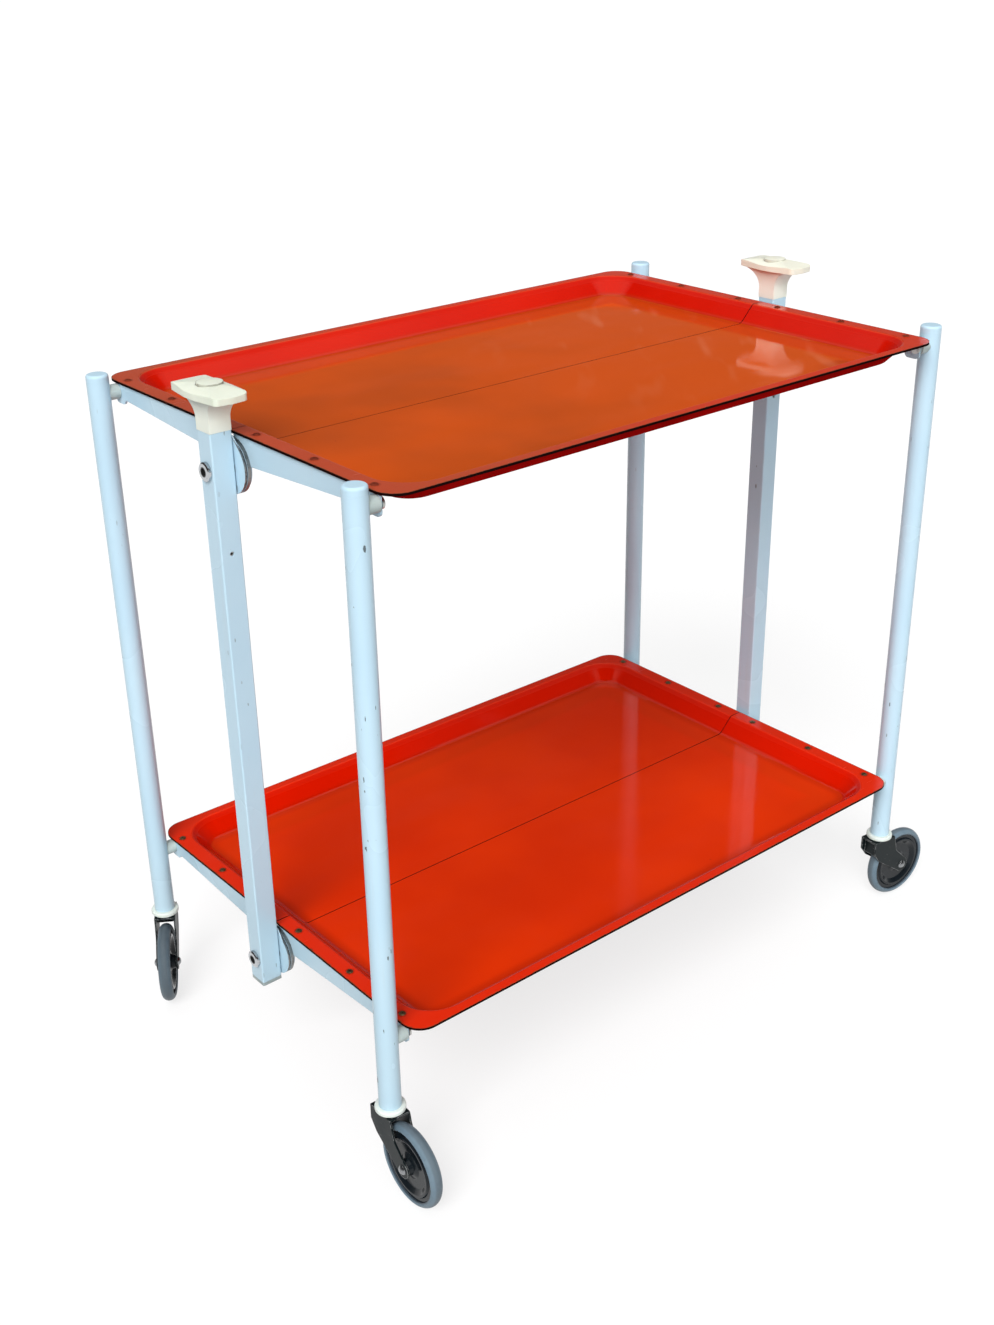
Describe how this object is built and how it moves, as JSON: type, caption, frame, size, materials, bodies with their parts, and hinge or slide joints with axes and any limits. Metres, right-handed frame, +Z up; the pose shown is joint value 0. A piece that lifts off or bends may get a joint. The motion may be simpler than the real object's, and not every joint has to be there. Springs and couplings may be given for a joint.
{
  "type": "folding serving trolley",
  "caption": "Folding serving trolley: two shallow rounded trays, each hinged along its middle, between handled end posts and tube legs on swivel casters.",
  "frame": {"origin": "on the floor, under the centre of the trays", "axes": "+X along the trolley towards its right end, +Y across it to the far side, +Z up"},
  "size_m": [0.788, 0.538, 0.6935],
  "materials": {
    "frame_enamel": "glossy bluish white paint, lightly chipped",
    "tray_enamel": "glossy orange-red enamel with a dark edge",
    "handle_plastic": "satin cream moulding",
    "grey_plastic": "grey moulding",
    "bright_steel": "bright plated steel",
    "plain_steel": "plain steel",
    "black_plastic": "black washer",
    "rivet_metal": "dull, dark rivet",
    "collar_plastic": "white moulding",
    "fork_metal": "black paint, worn bright along the edges",
    "hub_plastic": "dark glossy moulding",
    "tyre_rubber": "smooth grey-blue rubber"
  },
  "bodies": {
    "near_legs": {"near_left_leg": "frame_enamel", "near_right_leg": "frame_enamel", "near_leg_caps": "frame_enamel", "near_leg_pins": "plain_steel", "near_leg_bushes": "grey_plastic", "near_caster_sockets": "collar_plastic"},
    "upper_near": {"upper_near_tray": "tray_enamel", "upper_near_left_arm": "frame_enamel", "upper_near_right_arm": "frame_enamel", "upper_near_rivets": "rivet_metal"},
    "posts": {"left_post": "frame_enamel", "right_post": "frame_enamel", "left_handle": "handle_plastic", "right_handle": "handle_plastic", "post_end_caps": "grey_plastic", "pivot_bolts": "bright_steel", "pivot_nuts": "plain_steel", "pivot_washers": "black_plastic", "roll_pins": "plain_steel"},
    "upper_far": {"upper_far_tray": "tray_enamel", "upper_far_left_arm": "frame_enamel", "upper_far_right_arm": "frame_enamel", "upper_far_rivets": "rivet_metal"},
    "far_legs": {"far_left_leg": "frame_enamel", "far_right_leg": "frame_enamel", "far_leg_caps": "frame_enamel", "far_leg_pins": "plain_steel", "far_leg_bushes": "grey_plastic", "far_caster_sockets": "collar_plastic"},
    "lower_near": {"lower_near_tray": "tray_enamel", "lower_near_left_arm": "frame_enamel", "lower_near_right_arm": "frame_enamel", "lower_near_rivets": "rivet_metal"},
    "lower_far": {"lower_far_tray": "tray_enamel", "lower_far_left_arm": "frame_enamel", "lower_far_right_arm": "frame_enamel", "lower_far_rivets": "rivet_metal"},
    "left_release": {"left_button": "handle_plastic", "left_latch_bar": "plain_steel", "left_spring": "plain_steel"},
    "right_release": {"right_button": "handle_plastic", "right_latch_bar": "plain_steel", "right_spring": "plain_steel"},
    "near_left_swivel": {"near_left_fork": "fork_metal", "near_left_caster_pins": "bright_steel"},
    "near_left_wheel": {"near_left_hub": "hub_plastic", "near_left_tyre": "tyre_rubber"},
    "near_right_swivel": {"near_right_fork": "fork_metal", "near_right_caster_pins": "bright_steel"},
    "near_right_wheel": {"near_right_hub": "hub_plastic", "near_right_tyre": "tyre_rubber"},
    "far_left_swivel": {"far_left_fork": "fork_metal", "far_left_caster_pins": "bright_steel"},
    "far_left_wheel": {"far_left_hub": "hub_plastic", "far_left_tyre": "tyre_rubber"},
    "far_right_swivel": {"far_right_fork": "fork_metal", "far_right_caster_pins": "bright_steel"},
    "far_right_wheel": {"far_right_hub": "hub_plastic", "far_right_tyre": "tyre_rubber"}
  },
  "joints": [
    {"name": "fold", "type": "hinge", "parent": "near_legs", "child": "upper_near", "pos_m": [0, -0.199, 0.6395], "axis": [1, 0, 0], "range_deg": [0, 82]},
    {"name": "upper_near_to_posts", "type": "hinge", "parent": "upper_near", "child": "posts", "pos_m": [0, 0, 0.6198], "axis": [1, 0, 0], "range_deg": [-82, 0]},
    {"name": "posts_to_upper_far", "type": "hinge", "parent": "posts", "child": "upper_far", "pos_m": [0, 0, 0.6198], "axis": [1, 0, 0], "range_deg": [-82, 0]},
    {"name": "upper_far_to_far_legs", "type": "hinge", "parent": "upper_far", "child": "far_legs", "pos_m": [0, 0.199, 0.6395], "axis": [1, 0, 0], "range_deg": [0, 82]},
    {"name": "posts_to_lower_near", "type": "hinge", "parent": "posts", "child": "lower_near", "pos_m": [0, 0, 0.1368], "axis": [1, 0, 0], "range_deg": [0, 82]},
    {"name": "posts_to_lower_far", "type": "hinge", "parent": "posts", "child": "lower_far", "pos_m": [0, 0, 0.1368], "axis": [1, 0, 0], "range_deg": [-82, 0]},
    {"name": "left_release_press", "type": "slide", "parent": "posts", "child": "left_release", "axis": [0, 0, -1], "range_m": [0, 0.006], "stiffness_N_per_m": 400, "springref_m": -0.004, "deforming": ["left_spring"]},
    {"name": "right_release_press", "type": "slide", "parent": "posts", "child": "right_release", "axis": [0, 0, -1], "range_m": [0, 0.006], "stiffness_N_per_m": 400, "springref_m": -0.004, "deforming": ["right_spring"]},
    {"name": "near_left_swivel_turn", "type": "hinge", "parent": "near_legs", "child": "near_left_swivel", "pos_m": [-0.3385, -0.199, 0.09], "axis": [0, 0, 1], "continuous": true},
    {"name": "near_left_wheel_spin", "type": "hinge", "parent": "near_left_swivel", "child": "near_left_wheel", "pos_m": [-0.33929, -0.22899, 0.04], "axis": [0.9997, -0.0262, 0], "continuous": true},
    {"name": "near_right_swivel_turn", "type": "hinge", "parent": "near_legs", "child": "near_right_swivel", "pos_m": [0.3385, -0.199, 0.09], "axis": [0, 0, 1], "continuous": true},
    {"name": "near_right_wheel_spin", "type": "hinge", "parent": "near_right_swivel", "child": "near_right_wheel", "pos_m": [0.36839, -0.20161, 0.04], "axis": [0.0872, 0.9962, 0], "continuous": true},
    {"name": "far_left_swivel_turn", "type": "hinge", "parent": "far_legs", "child": "far_left_swivel", "pos_m": [-0.3385, 0.199, 0.09], "axis": [0, 0, 1], "continuous": true},
    {"name": "far_left_wheel_spin", "type": "hinge", "parent": "far_left_swivel", "child": "far_left_wheel", "pos_m": [-0.35484, 0.17384, 0.04], "axis": [0.8387, -0.5446, 0], "continuous": true},
    {"name": "far_right_swivel_turn", "type": "hinge", "parent": "far_legs", "child": "far_right_swivel", "pos_m": [0.3385, 0.199, 0.09], "axis": [0, 0, 1], "continuous": true},
    {"name": "far_right_wheel_spin", "type": "hinge", "parent": "far_right_swivel", "child": "far_right_wheel", "pos_m": [0.3385, 0.229, 0.04], "axis": [-1, 0, 0], "continuous": true}
  ],
  "couplings": [
    {"joint": "upper_near_to_posts", "follows": "fold", "ratio": -1},
    {"joint": "posts_to_upper_far", "follows": "fold", "ratio": -1},
    {"joint": "upper_far_to_far_legs", "follows": "fold", "ratio": 1},
    {"joint": "posts_to_lower_near", "follows": "fold", "ratio": 1},
    {"joint": "posts_to_lower_far", "follows": "fold", "ratio": -1}
  ]
}
